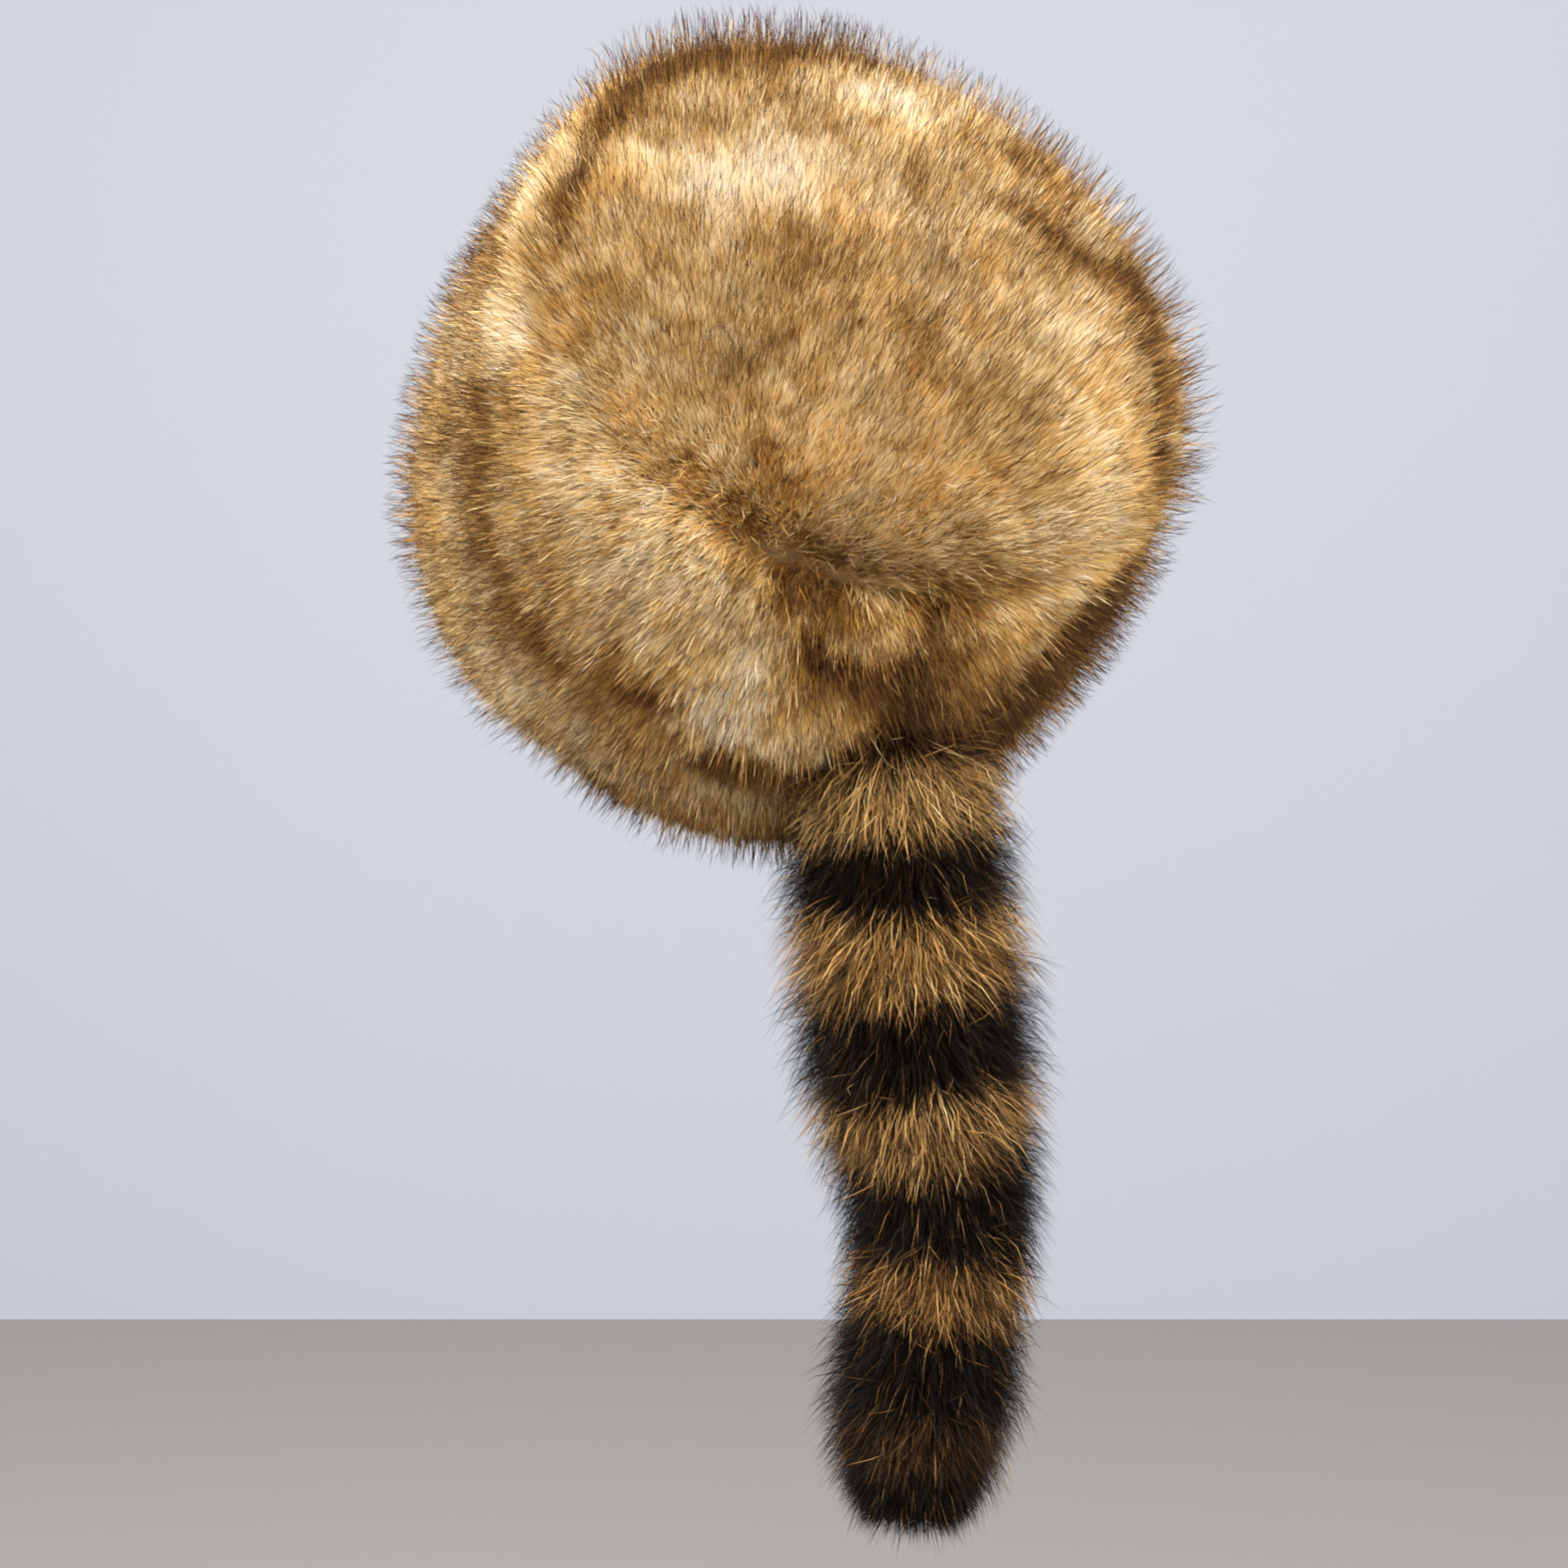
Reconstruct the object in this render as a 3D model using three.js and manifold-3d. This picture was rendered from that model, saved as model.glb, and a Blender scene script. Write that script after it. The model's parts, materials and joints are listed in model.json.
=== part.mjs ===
// A coonskin cap: a domed crown and a round band of tanned hide, both in deep fur, with a thick tail.
// Millimetres, +Z up as the tail hangs, -Y towards the back. The origin is the middle of the head opening.
import * as THREE from 'three';
import { mergeVertices } from 'three/addons/utils/BufferGeometryUtils.js';
import Module from 'manifold-3d';

const wasm = await Module();
wasm.setup();

// Driving dimensions
const headOpening = 188; // inside width of the head opening
const hideWall = 2; // thickness of the tanned hide
const bandHeight = 146; // from the rim to the crown seam, along the cap's axis
const bandBulge = 14; // how far the band swells out past its rim
const crownRise = 24; // rise of the dome above its seam
const capTilt = 50; // degrees that the cap's axis leans back from upright
const seamTilt = 7; // how much the seam drops at the back
const bandFurDepth = 26;
const crownFurDepth = 26;
const furOverhang = 9; // fur that hangs past the rim
const bandLockLength = 44;
const crownLockLength = 46;
const lockWidth = 29;
const lockSpacing = 32; // between neighbouring locks and between their rows
const tailLength = 296;
const tailRadius = 37;
const tailRootHeight = 58; // above the rim, on the outside of the band
const tailRootTurn = 5; // degrees to the side of the cap's middle line
const tailReach = 24; // how far the tail stands out from the hide before it hangs
const tailSway = 17; // sideways swing of the hanging tail
const tailLockLength = 42;
const tailLockWidth = 25;
const seamGap = 0.3; // clearance between neighbouring pieces

// Steps round the cap and the tail
const capSides = 36;
const tailSides = 12;
const tailSteps = 13;

// The hide's profile up the band: height as a share of bandHeight, swell as a share of bandBulge
const bandSections = [
  { up: 0.0, out: 0.0 },
  { up: 0.14, out: 0.36 },
  { up: 0.32, out: 0.78 },
  { up: 0.52, out: 0.98 },
  { up: 0.72, out: 1.0 },
  { up: 0.88, out: 0.92 },
  { up: 1.0, out: 0.8 },
];

// The hide's profile over the crown: radius as a share of the seam's, height as a share of crownRise
const crownSections = [
  { across: 0.93, up: 0.32 },
  { across: 0.78, up: 0.62 },
  { across: 0.55, up: 0.86 },
  { across: 0.28, up: 0.97 },
  { across: 0.0, up: 1.0 },
];

// How much of the full fur depth the dense fur has, from the rim to the seam and on to the crown's middle
const bandThickness = [0.72, 0.76, 0.78, 0.78, 0.76, 0.72, 0.55];
const crownThickness = [0.7, 0.76, 0.78, 0.78, 0.78];

// Dents: place in degrees from the back and as a share of bandHeight, depth as a share of bandFurDepth,
// width in degrees and height as a share of bandHeight
const dents = [
  { name: 'gather at the seam', around: -16, up: 1.0, deep: 0.34, wide: 17, tall: 0.11 },
  { name: 'fold under the gather', around: 0, up: 0.82, deep: 0.24, wide: 7, tall: 0.15 },
  { name: 'hollow left of the fold', around: -19, up: 0.82, deep: 0.14, wide: 8, tall: 0.1 },
  { name: 'soft side of the seam', around: -62, up: 1.03, deep: 0.12, wide: 20, tall: 0.09 },
];

// The tail's girth: place as a share of tailLength, radius as a share of tailRadius
const tailSections = [
  { along: 0.0, wide: 0.46 },
  { along: 0.06, wide: 0.74 },
  { along: 0.14, wide: 0.92 },
  { along: 0.24, wide: 1.0 },
  { along: 0.42, wide: 1.0 },
  { along: 0.58, wide: 0.92 },
  { along: 0.68, wide: 0.84 },
  { along: 0.8, wide: 0.86 },
  { along: 0.88, wide: 0.78 },
  { along: 0.95, wide: 0.52 },
  { along: 1.0, wide: 0.0 },
];

// The hanging tail's side swing, place as a share of its hanging length and swing as a share of tailSway
const tailSwings = [
  { along: 0.0, side: 0.0 },
  { along: 0.3, side: 0.12 },
  { along: 0.58, side: 1.0 },
  { along: 0.8, side: 0.55 },
  { along: 1.0, side: 0.35 },
];

const radians = THREE.MathUtils.degToRad;
const rimRadius = headOpening / 2 + hideWall;
const seamRadius = rimRadius + bandBulge * bandSections[bandSections.length - 1].out;

// Steady scatter: the same value between -1 and 1 for the same two whole numbers
function scatter(row, column) {
  const wave = Math.sin(row * 127.1 + column * 311.7) * 43758.5453;
  return 2 * (wave - Math.floor(wave)) - 1;
}

// The hide's outer profile as points (radius, height), from the rim to the middle of the crown
function hideProfile() {
  const band = bandSections.map((s) => new THREE.Vector2(rimRadius + bandBulge * s.out, bandHeight * s.up));
  const crown = crownSections.map((s) => new THREE.Vector2(seamRadius * s.across, bandHeight + crownRise * s.up));
  return band.concat(crown);
}

const profile = hideProfile();
const seamIndex = bandSections.length - 1;

// Outward direction at each profile point, stretched at corners so that an offset keeps its distance
const profileNormals = profile.map((point, i) => {
  const before = profile[Math.max(i - 1, 0)];
  const after = profile[Math.min(i + 1, profile.length - 1)];
  const turned = (from, to) => new THREE.Vector2(to.y - from.y, from.x - to.x).normalize();
  const first = i > 0 ? turned(before, point) : turned(point, after);
  const second = i < profile.length - 1 ? turned(point, after) : new THREE.Vector2(0, 1);
  const middle = first.clone().add(second).normalize();
  return middle.divideScalar(middle.dot(second));
});

// Profile point i moved out by a distance, and never past the axis
function offsetPoint(i, distance) {
  const moved = profile[i].clone().addScaledVector(profileNormals[i], distance);
  if (i === profile.length - 1) moved.x = 0;
  return moved;
}

// Settles a point of the plain round cap into the worn shape: the seam drops at the back, and the dents sink
function settle(point) {
  const rise = THREE.MathUtils.smoothstep(point.z, 0, bandHeight);
  const settled = point.clone();
  const share = point.z / bandHeight;
  const around = THREE.MathUtils.radToDeg(Math.atan2(point.x, -point.y));
  const inward = new THREE.Vector3(point.x, point.y, point.z - bandHeight / 2);
  const reach = Math.hypot(point.x, point.y) / seamRadius;
  for (const dent of dents) {
    const turn = (around - dent.around) / dent.wide;
    const climb = (share - dent.up) / dent.tall;
    const near = Math.exp(-turn * turn - climb * climb) * THREE.MathUtils.smoothstep(reach, 0.2, 0.9);
    settled.addScaledVector(inward, (-near * dent.deep * bandFurDepth) / inward.length());
  }
  settled.z += (seamTilt * rise * point.y) / seamRadius;
  return settled;
}

// Moves every vertex of a geometry by a function
function reshape(geometry, move) {
  const position = geometry.getAttribute('position');
  const point = new THREE.Vector3();
  for (let i = 0; i < position.count; i += 1) {
    point.fromBufferAttribute(position, i);
    const moved = move(point);
    position.setXYZ(i, moved.x, moved.y, moved.z);
  }
  return geometry;
}

// A closed solid from a closed geometry
function solidFrom(geometry) {
  geometry.deleteAttribute('normal');
  geometry.deleteAttribute('uv');
  const merged = mergeVertices(geometry, 1e-4);
  const corners = merged.index.array;
  const triangles = [];
  for (let i = 0; i < corners.length; i += 3) {
    const [a, b, c] = [corners[i], corners[i + 1], corners[i + 2]];
    if (a !== b && b !== c && c !== a) triangles.push(a, b, c);
  }
  const vertProperties = new Float32Array(merged.getAttribute('position').array);
  const triVerts = new Uint32Array(triangles);
  return new wasm.Manifold(new wasm.Mesh({ numProp: 3, vertProperties, triVerts }));
}

// A geometry from a solid
function geometryFrom(solid) {
  const mesh = solid.getMesh();
  const geometry = new THREE.BufferGeometry();
  geometry.setAttribute('position', new THREE.BufferAttribute(mesh.vertProperties, mesh.numProp));
  geometry.setIndex(new THREE.BufferAttribute(mesh.triVerts, 1));
  geometry.computeVertexNormals();
  return geometry;
}

// A solid of revolution about the cap's axis, standing upright and then settled
function turnedSolid(points) {
  const geometry = new THREE.LatheGeometry(points, capSides, Math.PI);
  geometry.rotateX(Math.PI / 2);
  return solidFrom(reshape(geometry, settle));
}

// A wall between the profile and its inside, for the profile points from first to last
function wallPoints(first, last, edgeGap) {
  const outer = [];
  const inner = [];
  for (let i = first; i <= last; i += 1) {
    outer.push(offsetPoint(i, 0));
    inner.push(offsetPoint(i, -hideWall));
  }
  if (edgeGap > 0) {
    outer[outer.length - 1].y -= edgeGap;
    inner[inner.length - 1].y -= edgeGap;
  }
  return { outer, inner };
}

// The band's hide: a round wall, open at the rim and at the seam
function bandHide() {
  const { outer, inner } = wallPoints(0, seamIndex, seamGap);
  inner[0].y = 0;
  const loop = outer.concat(inner.reverse());
  loop.push(loop[0].clone());
  return turnedSolid(loop);
}

// The crown's hide: a domed wall that closes the band's top
function crownHide() {
  const { outer, inner } = wallPoints(seamIndex, profile.length - 1, 0);
  return turnedSolid(inner.reverse().concat(outer));
}

// Everything within the hide's outside and a clearance, and the head's way in below the rim
function insideOfHide() {
  const points = profile.map((point, i) => offsetPoint(i, seamGap));
  const mouth = new THREE.Vector2(rimRadius + seamGap, -bandHeight);
  return turnedSolid([new THREE.Vector2(0, -bandHeight), mouth].concat(points));
}

// Everything on the crown's side of the parting at the seam, lowered by a gap
function crownSide(gap) {
  const seam = profile[seamIndex];
  const lean = profileNormals[seamIndex];
  const slope = lean.y / lean.x;
  const far = seam.x * 2;
  const at = (radius) => new THREE.Vector2(radius, seam.y - gap + (radius - seam.x) * slope);
  const radii = [0, seam.x * 0.5, seam.x - hideWall, seam.x, seam.x + crownFurDepth * 0.4, seam.x + crownFurDepth, far];
  const top = at(far).y + bandHeight;
  return turnedSolid(radii.map(at).concat([new THREE.Vector2(far, top), new THREE.Vector2(0, top)]));
}

// The dense fur's outer line as points (radius, height): it hangs below the rim, then follows the profile
const denseDepths = bandThickness.map((share) => share * bandFurDepth)
  .concat(crownThickness.map((share) => share * crownFurDepth));
const hemPoint = new THREE.Vector2(rimRadius + denseDepths[0] * 0.85, -bandLockLength);
const furLine = [hemPoint].concat(profile.map((point, i) => offsetPoint(i, denseDepths[i])));
const furLeans = [new THREE.Vector2(1, 0)].concat(profileNormals.map((lean) => lean.clone().normalize()));
const furSteps = furLine.slice(1).map((point, i) => point.distanceTo(furLine[i]));
const lengthOf = (steps) => steps.reduce((sum, step) => sum + step, 0);
const bandSpan = lengthOf(furSteps.slice(1, seamIndex + 1));
const crownSpan = lengthOf(furSteps.slice(seamIndex + 1));

// The dense fur round the whole cap, as one solid to be parted at the seam
function denseFur() {
  const hem = new THREE.Vector2(rimRadius + denseDepths[0] / 2, -furOverhang / 2);
  return turnedSolid([new THREE.Vector2(0, hem.y), hem].concat(furLine.slice(1)));
}

// A point (radius, height) turned to an angle from the back
function turnedTo(flat, turn) {
  return new THREE.Vector3(flat.x * Math.sin(turn), -flat.x * Math.cos(turn), flat.y);
}

// The place on the dense fur at a distance above the rim along its line, and at an angle from the back
function furPlace(distance, turn) {
  let left = distance;
  let i = 1;
  while (i < furSteps.length - 1 && left > furSteps[i]) {
    left -= furSteps[i];
    i += 1;
  }
  const share = Math.min(left / furSteps[i], 1);
  const lean = furLeans[i].clone().lerp(furLeans[i + 1], share).normalize();
  return { point: turnedTo(furLine[i].clone().lerp(furLine[i + 1], share), turn), outward: turnedTo(lean, turn) };
}

// Drops a point onto the dense fur and raises it to a height over it
function overFur(point, height) {
  const flat = new THREE.Vector2(Math.hypot(point.x, point.y), point.z);
  let nearest = { gap: Infinity };
  furSteps.forEach((step, i) => {
    const run = furLine[i + 1].clone().sub(furLine[i]);
    const share = THREE.MathUtils.clamp(flat.clone().sub(furLine[i]).dot(run) / (step * step), 0, 1);
    const foot = furLine[i].clone().addScaledVector(run, share);
    const gap = foot.distanceTo(flat);
    if (gap < nearest.gap) nearest = { gap, foot, lean: furLeans[i].clone().lerp(furLeans[i + 1], share) };
  });
  nearest.foot.addScaledVector(nearest.lean.normalize(), height);
  return turnedTo(nearest.foot, Math.atan2(point.x, -point.y));
}

// One lock of fur: a tapered leaf with a ridge on top, rooted in the dense fur. It runs from its root along
// combed, as wide as side says, and lift puts a point of that plane at a height over the dense fur
function lockSolid(root, combed, side, size, lift) {
  const geometry = new THREE.ConeGeometry(1, 1, 3, 2);
  geometry.translate(0, 0.5, 0);
  const leaf = (point) => {
    const share = point.y;
    const fullness = share > 0.25 && share < 0.75 ? 1.6 : 1;
    const swell = point.z * size.thick * fullness;
    const height = size.rise * Math.sin((share * Math.PI) / 2) - size.rooted * (1 - share) + swell;
    const placed = root.clone().addScaledVector(combed, size.length * share);
    placed.addScaledVector(side, point.x * (size.width / 2) * fullness);
    return lift(placed, height);
  };
  return solidFrom(reshape(geometry, leaf));
}

// Where the fur parts and fans out from: the gather at the seam
const partingPoint = furPlace(bandSpan, radians(dents[0].around)).point;

// The way that fur lies at a place: away from the parting point, and on the band also towards the rim
function combedAt(place, fall) {
  const away = place.point.clone().sub(partingPoint).normalize();
  away.addScaledVector(new THREE.Vector3(0, 0, -1), fall);
  return away.addScaledVector(place.outward, -away.dot(place.outward)).normalize();
}

// Rows of locks between two distances along the dense fur's line
function capLocks(from, to, furDepth, lockLength, fall) {
  const locks = [];
  const rows = Math.max(Math.round((to - from) / lockSpacing), 2);
  for (let row = 0; row < rows; row += 1) {
    const distance = from + ((to - from) * (row + 0.5)) / rows;
    const girth = 2 * Math.PI * Math.abs(furPlace(distance, 0).point.y);
    const count = Math.max(Math.round(girth / lockSpacing), 1);
    for (let i = 0; i < count; i += 1) {
      const turn = ((i + (row % 2) / 2 + 0.16 * scatter(row, i)) * 2 * Math.PI) / count;
      const place = furPlace(distance + lockWidth * 0.14 * scatter(i, row), turn);
      const combed = combedAt(place, fall);
      const side = new THREE.Vector3().crossVectors(combed, place.outward);
      const size = {
        length: Math.min(lockLength, distance + furOverhang * 1.5) * (1 + 0.14 * scatter(i + 7, row)),
        width: lockWidth,
        thick: furDepth * 0.26,
        rooted: furDepth * 0.3,
        rise: furDepth * 0.27,
      };
      locks.push(lockSolid(place.point, combed, side, size, (point, height) => settle(overFur(point, height))));
    }
  }
  return locks;
}

// Keeps the one body that holds the backing, without tips that the parting or the tail cut off
function mainBody(solid) {
  return solid.decompose().reduce((best, piece) => (piece.volume() > best.volume() ? piece : best));
}

// The cap's frame, which leans back from upright
const cap = new THREE.Group();
cap.rotation.x = radians(capTilt);
cap.updateMatrixWorld(true);
const toCap = cap.matrixWorld.clone().invert();

// The tail's middle line: out of the band's hide, over in a short bend and straight down
function tailLine() {
  const rootShare = tailRootHeight / bandHeight;
  const next = bandSections.findIndex((s) => s.up > rootShare);
  const lower = bandSections[next - 1];
  const upper = bandSections[next];
  const swell = THREE.MathUtils.mapLinear(rootShare, lower.up, upper.up, lower.out, upper.out);
  const turn = radians(tailRootTurn);
  const rootRadius = rimRadius + bandBulge * swell;
  const start = new THREE.Vector3(rootRadius * Math.sin(turn), -rootRadius * Math.cos(turn), tailRootHeight);
  const outward = new THREE.Vector3(Math.sin(turn), -Math.cos(turn), 0);
  const root = settle(start).applyMatrix4(cap.matrixWorld);
  const away = outward.transformDirection(cap.matrixWorld);
  const points = [
    root.clone().addScaledVector(away, -hideWall * 2),
    root.clone().addScaledVector(away, tailReach * 0.55),
  ];
  const bend = root.clone().addScaledVector(away, tailReach);
  bend.z -= tailReach * 0.6;
  const hang = tailLength - tailReach * 1.6;
  for (const swing of tailSwings) {
    points.push(new THREE.Vector3(bend.x + tailSway * swing.side, bend.y, bend.z - hang * swing.along));
  }
  return new THREE.CatmullRomCurve3(points, false, 'centripetal');
}

const tailCurve = tailLine();

// Two directions across the tail at a share of its length: one to the side, one to the back
function tailFrame(share) {
  const point = tailCurve.getPointAt(share);
  const along = tailCurve.getTangentAt(share);
  const side = new THREE.Vector3(1, 0, 0).addScaledVector(along, -along.x).normalize();
  const back = new THREE.Vector3().crossVectors(along, side);
  return { point, along, side, back };
}

// The tail's girth at a share of its length
function tailGirth(share) {
  let i = 0;
  while (i < tailSections.length - 2 && tailSections[i + 1].along < share) i += 1;
  const lower = tailSections[i];
  const upper = tailSections[i + 1];
  return tailRadius * THREE.MathUtils.mapLinear(share, lower.along, upper.along, lower.wide, upper.wide);
}

// A round bar along the tail whose radius is a share of the tail's, plus a clearance, up to a share of its length
function tailBar(radiusShare, clearance, end) {
  const points = [new THREE.Vector2(0, 0)];
  for (let i = 0; i <= tailSteps; i += 1) {
    const share = (i / tailSteps) * end;
    points.push(new THREE.Vector2(tailGirth(share) * radiusShare + clearance, share));
  }
  if (points[points.length - 1].x > 0) points.push(new THREE.Vector2(0, end));
  else points[points.length - 1].x = 0;
  const geometry = new THREE.LatheGeometry(points.reverse(), tailSides);
  const bent = (point) => {
    const { point: middle, side, back } = tailFrame(THREE.MathUtils.clamp(point.y, 0, 1));
    return middle.clone().addScaledVector(side, point.x).addScaledVector(back, point.z);
  };
  return solidFrom(reshape(geometry, bent));
}

// Rows of locks down the tail, below the stretch that the band's fur covers
function tailLocks(first, radiusShare) {
  const locks = [];
  const from = first * tailLength;
  const to = tailLength - tailLockLength * 0.75;
  const rows = Math.round((to - from) / (tailLockWidth * 0.95));
  for (let row = 0; row < rows; row += 1) {
    const share = (from + ((to - from) * row) / (rows - 1)) / tailLength;
    const { point, along, side, back } = tailFrame(share);
    const radius = tailGirth(share);
    const count = Math.max(Math.round((2 * Math.PI * radius * radiusShare) / tailLockWidth), 3);
    for (let i = 0; i < count; i += 1) {
      const turn = ((i + (row % 2) / 2 + 0.12 * scatter(row, i)) * 2 * Math.PI) / count;
      const outward = side.clone().multiplyScalar(Math.cos(turn)).addScaledVector(back, Math.sin(turn));
      const across = new THREE.Vector3().crossVectors(along, outward);
      const root = point.clone().addScaledVector(outward, radius * radiusShare);
      const size = {
        length: tailLockLength * (1 + 0.12 * scatter(i + 3, row)),
        width: tailLockWidth,
        thick: radius * 0.16,
        rooted: radius * 0.2,
        rise: radius * (1 - radiusShare),
      };
      const lift = (placed, height) => placed.addScaledVector(outward, height);
      locks.push(lockSolid(root, along, across, size, lift));
    }
  }
  return locks;
}

// The cap's solids, in the cap's own frame
const insideHide = insideOfHide();
const fur = denseFur();
const bandLocks = capLocks(0, bandSpan + lockWidth * 0.35, bandFurDepth, bandLockLength, 0.9);
const crownLocks = capLocks(bandSpan - lockWidth * 0.35, bandSpan + crownSpan, crownFurDepth, crownLockLength, 0);
const tailDense = 0.74;
const tailCovered = 0.17;
const tailSolid = wasm.Manifold.union([tailBar(tailDense, 0, 1)].concat(tailLocks(tailCovered, tailDense)));
const tailRoom = tailBar(1, seamGap * 4, tailCovered * 2.6);

// A solid of the hanging frame, seen from the cap's leaning frame, or back again
function carried(solid, matrix) {
  return solidFrom(geometryFrom(solid).applyMatrix4(matrix).toNonIndexed());
}

const crownFurSolid = mainBody(
  wasm.Manifold.union([fur].concat(crownLocks)).intersect(crownSide(0)).subtract(insideHide),
);
const bandFurSolid = mainBody(
  wasm.Manifold.union([fur].concat(bandLocks))
    .subtract(crownSide(seamGap * 2))
    .subtract(insideHide)
    .subtract(carried(tailRoom, toCap)),
);
const tailSeated = mainBody(tailSolid.subtract(carried(insideHide, cap.matrixWorld)));

// Finishes
const finishes = {
  hide: { color: 0xcdb28c, roughness: 0.85, metalness: 0 },
  bandFur: { color: 0xc29a68, roughness: 0.95, metalness: 0 },
  crownFur: { color: 0xbd9560, roughness: 0.95, metalness: 0 },
  tailFur: { color: 0x5a4028, roughness: 0.95, metalness: 0 },
};

// A named piece with its own finish
function piece(name, solid, finish) {
  const mesh = new THREE.Mesh(geometryFrom(solid), new THREE.MeshStandardMaterial(finish));
  mesh.name = name;
  return mesh;
}

cap.add(piece('band_hide', bandHide(), finishes.hide));
cap.add(piece('crown_hide', crownHide(), finishes.hide));
cap.add(piece('band_fur', bandFurSolid, finishes.bandFur));
cap.add(piece('crown_fur', crownFurSolid, finishes.crownFur));

const coonskinCap = new THREE.Group();
coonskinCap.add(cap);
coonskinCap.add(piece('tail', tailSeated, finishes.tailFur));

export default coonskinCap;
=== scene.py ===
# %% [markdown]
# A coonskin cap in Blender. The cap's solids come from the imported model: two walls of tanned hide, the fur
# round them as one rough mass each, and a thick tail. Here the rough fur is replaced by real strands. Fur
# could be made with a hair curve object, but a mesh of thin tapered blades keeps its form in any program, so
# every strand is a few faces, combed by arrays over the hide that carries it.

# %% Load the fixed frame
import json
import math

import bmesh
import bpy
import numpy as np
from mathutils import Matrix, Vector, noise

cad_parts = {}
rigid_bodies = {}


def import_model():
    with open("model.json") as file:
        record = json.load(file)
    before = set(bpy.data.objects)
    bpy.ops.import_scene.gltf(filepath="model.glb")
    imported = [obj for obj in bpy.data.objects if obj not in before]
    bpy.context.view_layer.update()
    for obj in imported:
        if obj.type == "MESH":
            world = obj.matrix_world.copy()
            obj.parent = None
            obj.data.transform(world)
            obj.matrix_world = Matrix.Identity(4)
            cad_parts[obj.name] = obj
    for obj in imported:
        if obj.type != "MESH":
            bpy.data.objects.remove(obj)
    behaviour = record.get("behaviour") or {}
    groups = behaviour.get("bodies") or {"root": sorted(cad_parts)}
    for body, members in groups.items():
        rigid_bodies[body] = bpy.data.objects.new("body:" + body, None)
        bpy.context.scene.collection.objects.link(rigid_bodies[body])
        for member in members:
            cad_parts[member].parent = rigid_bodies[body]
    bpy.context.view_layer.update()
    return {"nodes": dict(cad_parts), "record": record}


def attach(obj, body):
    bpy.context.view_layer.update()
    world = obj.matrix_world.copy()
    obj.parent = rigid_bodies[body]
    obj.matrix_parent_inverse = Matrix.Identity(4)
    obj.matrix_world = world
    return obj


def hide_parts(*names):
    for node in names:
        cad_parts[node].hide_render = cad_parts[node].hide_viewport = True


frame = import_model()
MM = 0.001
print("nodes", sorted(frame["nodes"]))

# %% [markdown]
# The cap leans back as it is worn, so most of the work is easier in the cap's own frame: its axis up, its
# back towards -Y. The lean is read from the mount where the head goes in.

# %% The cap's own frame
head_seat = next(m for m in frame["record"]["mounts"] if m["name"] == "head_seat")
cap_up = -Vector(head_seat["axis"]).normalized()
lean_angle = math.atan2(-cap_up.y, cap_up.z)
LEAN = np.array(Matrix.Rotation(lean_angle, 3, "X"))
print("the cap leans back", round(math.degrees(lean_angle), 1), "degrees")


def to_cap(points):
    """Row frame to the cap's own frame, for an array of points or directions."""
    return points @ LEAN


def from_cap(points):
    """The cap's own frame back to the row frame."""
    return points @ LEAN.T


# %% [markdown]
# The camera stands where the photo was taken from: almost level, 26 degrees round to the left from straight
# behind the cap, about 1.4 m off. A long lens keeps the cap's proportions.

# %% Camera
PHOTO_AZIMUTH = math.radians(-26)
PHOTO_ELEVATION = math.radians(3)
CAMERA_DISTANCE = 1.4
FIELD_WIDTH = 0.5695
LOOK_AT = Vector((-0.0074, -0.0782, -0.0662))

towards_camera = Vector((
    math.sin(PHOTO_AZIMUTH) * math.cos(PHOTO_ELEVATION),
    -math.cos(PHOTO_AZIMUTH) * math.cos(PHOTO_ELEVATION),
    math.sin(PHOTO_ELEVATION),
))
camera_data = bpy.data.cameras.new("camera")
camera_data.lens = camera_data.sensor_width * CAMERA_DISTANCE / FIELD_WIDTH
camera = bpy.data.objects.new("camera", camera_data)
bpy.context.scene.collection.objects.link(camera)
camera.location = LOOK_AT + towards_camera * CAMERA_DISTANCE
camera.rotation_euler = (-towards_camera).to_track_quat("-Z", "Y").to_euler()
bpy.context.scene.camera = camera
print("lens", round(camera_data.lens, 1), "mm")

# %% [markdown]
# Every material is a small graph of nodes. Two helpers keep the graphs short: one turns a hex colour to
# linear light, and one adds a node with its settings and links.


# %% Colours and nodes
def linear(hex_colour):
    """An sRGB hex colour as linear red, green, blue and alpha."""
    channels = [int(hex_colour[i:i + 2], 16) / 255 for i in (1, 3, 5)]
    return tuple(c / 12.92 if c <= 0.04045 else ((c + 0.055) / 1.055) ** 2.4 for c in channels) + (1.0,)


def add_node(material, kind, inputs=None, **settings):
    """A node with its settings. An input's value is a plain value, or an output socket to link."""
    node = material.node_tree.nodes.new(kind)
    for name, value in settings.items():
        setattr(node, name, value)
    for key, value in (inputs or {}).items():
        if isinstance(value, bpy.types.NodeSocket):
            material.node_tree.links.new(value, node.inputs[key])
        else:
            node.inputs[key].default_value = value
    return node


def new_material(name):
    """An empty material and its Principled shader."""
    material = bpy.data.materials.new(name)
    material.use_nodes = True
    return material, material.node_tree.nodes["Principled BSDF"]


def ramp(material, factor, stops):
    """A colour ramp through (position, hex colour) stops."""
    node = add_node(material, "ShaderNodeValToRGB", {"Fac": factor})
    elements = node.color_ramp.elements
    elements[0].position, elements[-1].position = stops[0][0], stops[-1][0]
    for place, colour in stops[1:-1]:
        elements.new(place).color = linear(colour)
    elements[0].color, elements[-1].color = linear(stops[0][1]), linear(stops[-1][1])
    return node


# %% [markdown]
# The backdrop is a plain pale wall behind a plain grey floor. The floor lies so far below the tail that the
# line where they meet crosses the picture about where it does in the photo.

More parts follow.
